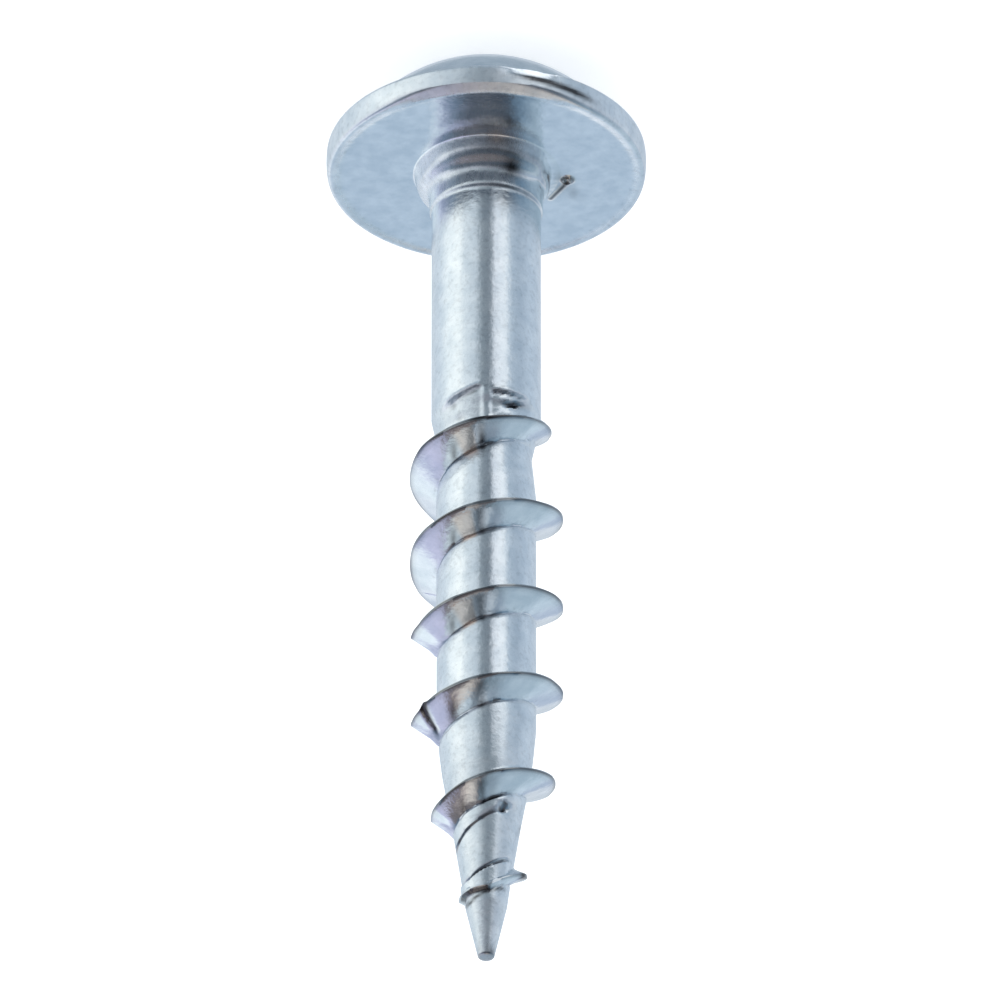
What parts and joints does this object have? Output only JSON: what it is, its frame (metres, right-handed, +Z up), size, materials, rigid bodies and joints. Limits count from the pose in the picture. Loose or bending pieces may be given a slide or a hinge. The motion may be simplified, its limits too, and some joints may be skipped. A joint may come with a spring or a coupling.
{
  "type": "pocket hole screw",
  "caption": "Zinc-plated steel wood screw with a domed washer head, square recess, plain shank, coarse thread and notched point, for pocket hole joints.",
  "frame": {"origin": "middle of the flat on the head, which the screw stands on", "axes": "+Z up along the axis, from the head to the point; -Y is the side that the picture shows; +X completes the right-handed frame"},
  "size_m": [0.0088, 0.0088, 0.0282],
  "materials": {
    "zinc_plated_steel": "bright clear zinc plating"
  },
  "bodies": {
    "root": {"screw": "zinc_plated_steel"}
  },
  "joints": []
}
